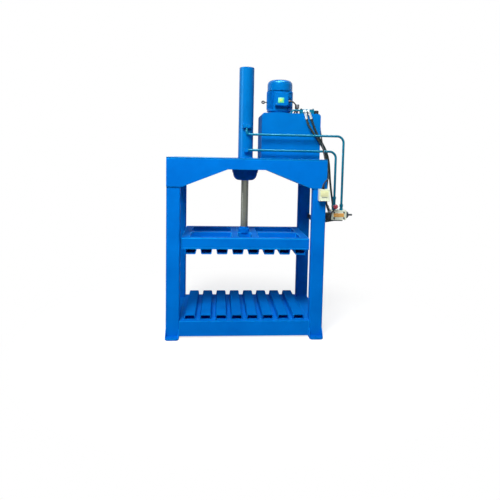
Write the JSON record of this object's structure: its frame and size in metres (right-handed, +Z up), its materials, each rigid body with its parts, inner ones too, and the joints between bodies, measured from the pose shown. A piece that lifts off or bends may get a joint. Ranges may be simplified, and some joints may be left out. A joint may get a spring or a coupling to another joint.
{
  "type": "hydraulic press",
  "caption": "Upright four-post hydraulic press with a ribbed platen and bed, a ram cylinder through its crown, and an oil tank, motor and hand valve on the right.",
  "frame": {"origin": "on the floor, at the centre of the four anchor holes", "axes": "+X to the operator's right, +Y to the rear, +Z up"},
  "size_m": [1.727, 0.901, 2.441],
  "materials": {
    "blue_enamel": "gloss enamel",
    "teal_paint": "gloss enamel",
    "cream_paint": "satin enamel",
    "dark_paint": "satin enamel",
    "chromed_rod": "ground and chromed",
    "machined_steel": "machined",
    "zinc_steel": "zinc plated",
    "dark_steel": "blackened",
    "cast_pump": "as cast",
    "bronze": "machined",
    "black_rubber": "matte",
    "cable_sheath": "satin",
    "black_plastic": "moulded",
    "red_plastic": "moulded"
  },
  "bodies": {
    "frame": {"front_posts": "blue_enamel", "rear_posts": "blue_enamel", "feet": "blue_enamel", "base_beams": "blue_enamel", "base_sills": "blue_enamel", "bed_bearers": "blue_enamel", "bed_plate": "blue_enamel", "bed_ribs": "blue_enamel", "crown_webs": "blue_enamel", "crown_top_plate": "blue_enamel", "crown_soffit": "blue_enamel", "crown_plates": "blue_enamel", "cylinder_tube": "blue_enamel", "cylinder_cap": "blue_enamel", "gland_housing": "blue_enamel", "gland_bush": "bronze", "wiper_ring": "black_rubber", "gland_bolts": "zinc_steel", "port_blocks": "blue_enamel", "tank": "blue_enamel", "manifold_block": "teal_paint", "outlet_pipe": "zinc_steel", "breather": "zinc_steel", "motor_bell": "blue_enamel", "motor_frame": "blue_enamel", "fan_cover": "blue_enamel", "terminal_box": "blue_enamel", "terminal_lid": "blue_enamel", "lifting_eye": "dark_paint", "pump": "cast_pump", "upper_pipe": "teal_paint", "lower_pipe": "teal_paint", "pipe_fittings": "teal_paint", "hose_ends": "zinc_steel", "hose_pressure": "black_rubber", "hose_return": "black_rubber", "motor_cable": "cable_sheath", "cable_glands": "black_plastic", "starter_box": "cream_paint", "starter_cover": "cream_paint", "valve_bracket": "dark_paint", "valve_body": "cream_paint", "valve_end_cap": "dark_paint", "valve_screws": "dark_steel", "lever_housing": "dark_paint"},
    "ram": {"piston": "machined_steel", "piston_seal": "black_rubber", "piston_nut": "machined_steel", "ram_rod": "chromed_rod", "rod_socket": "blue_enamel", "platen_frame": "blue_enamel", "platen_plate": "blue_enamel", "platen_pad": "blue_enamel", "platen_ribs": "blue_enamel"},
    "rotor": {"motor_rotor": "machined_steel", "cooling_fan": "black_plastic"},
    "lever": {"lever_arm": "dark_steel", "lever_knob": "red_plastic"},
    "spool": {"valve_spool": "machined_steel"},
    "cap": {"filler_cap": "black_plastic"}
  },
  "joints": [
    {"name": "ram_slide", "type": "slide", "parent": "frame", "child": "ram", "axis": [0, 0, 1], "range_m": [-0.46, 0.42]},
    {"name": "rotor_spin", "type": "hinge", "parent": "frame", "child": "rotor", "pos_m": [0.34, 0.19, 2.03], "axis": [0, 0, 1], "continuous": true},
    {"name": "lever_swing", "type": "hinge", "parent": "frame", "child": "lever", "pos_m": [0.784, -0.15, 1.052], "axis": [0, 1, 0], "range_deg": [-12, 12], "stiffness_Nm_per_rad": 8},
    {"name": "spool_shift", "type": "slide", "parent": "frame", "child": "spool", "axis": [1, 0, 0], "range_m": [-0.0053, 0.0053]},
    {"name": "cap_turn", "type": "hinge", "parent": "frame", "child": "cap", "pos_m": [0.676, 0.03, 2.03], "axis": [0, 0, 1], "range_deg": [0, 90]}
  ],
  "couplings": [
    {"joint": "spool_shift", "follows": "lever_swing", "m_per_rad": 0.0245}
  ]
}
